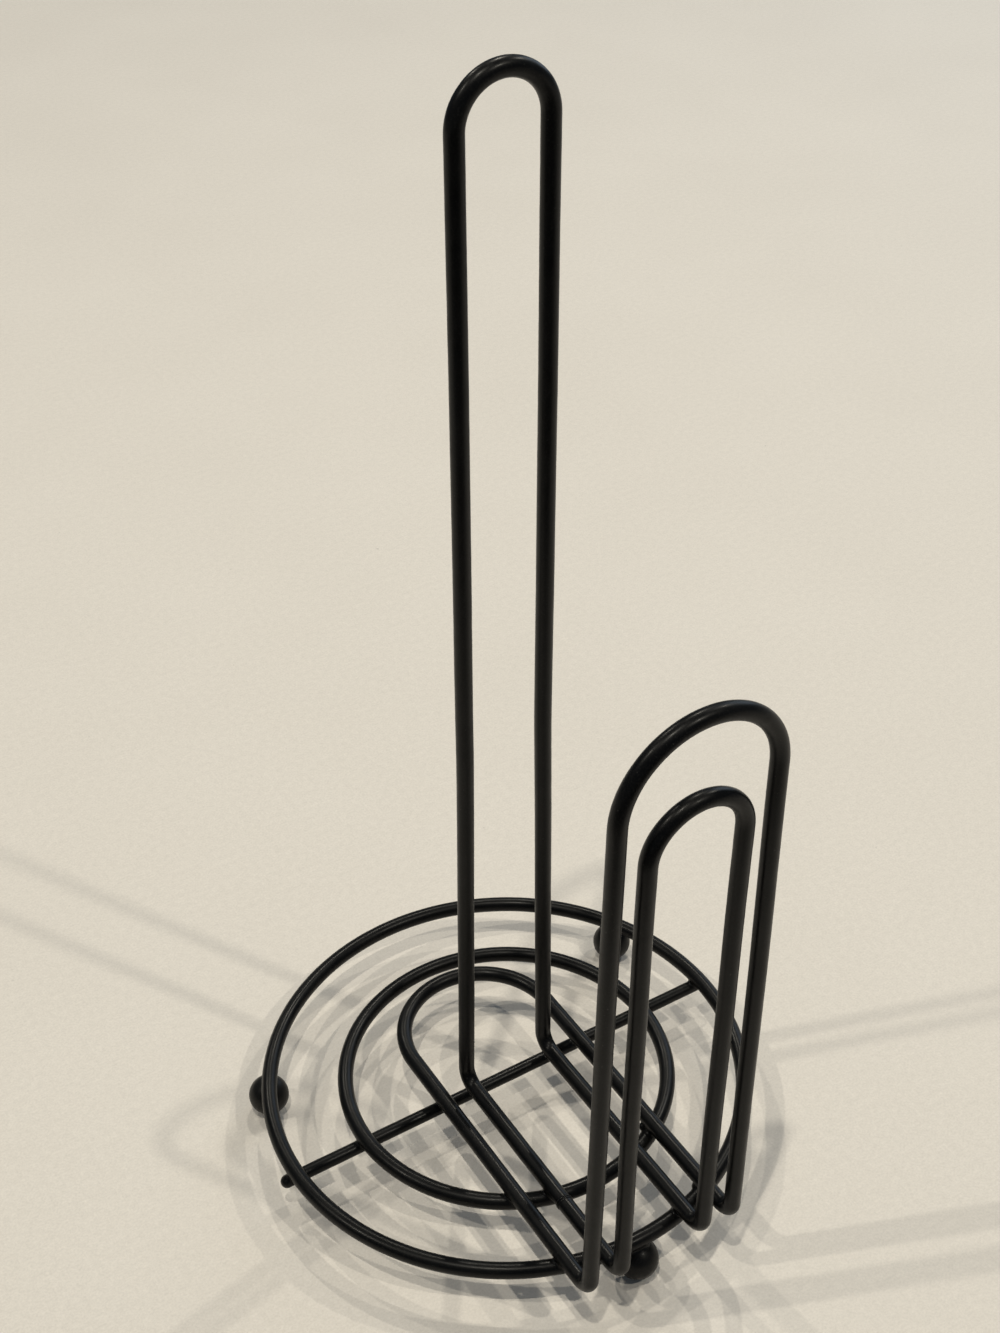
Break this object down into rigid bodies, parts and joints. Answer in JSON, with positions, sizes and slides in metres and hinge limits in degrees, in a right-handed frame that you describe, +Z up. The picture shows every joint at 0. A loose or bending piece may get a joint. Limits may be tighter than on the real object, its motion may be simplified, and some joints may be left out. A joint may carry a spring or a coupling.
{
  "type": "paper towel holder",
  "caption": "Free-standing wire paper towel holder: a tall hairpin mast on ring-shaped wire base, with nested hairpin arms in front and ball feet.",
  "frame": {"origin": "centre of the two base rings, at table height", "axes": "+Z up the mast, -Y towards the front arms, X along the cross bar"},
  "size_m": [0.159, 0.1673, 0.341],
  "materials": {
    "coated_wire": "satin black powder coat",
    "coated_foot": "satin black powder coat",
    "coated_weld": "satin black powder coat over rough weld metal"
  },
  "bodies": {
    "root": {"outer_ring": "coated_wire", "inner_ring": "coated_wire", "cross_bar": "coated_wire", "mast_wire": "coated_wire", "outer_arm_wire": "coated_wire", "foot_front": "coated_foot", "foot_right": "coated_foot", "foot_left": "coated_foot", "bar_welds": "coated_weld", "inner_ring_welds": "coated_weld", "outer_ring_welds": "coated_weld", "foot_welds": "coated_weld", "butt_weld": "coated_weld"}
  },
  "joints": []
}
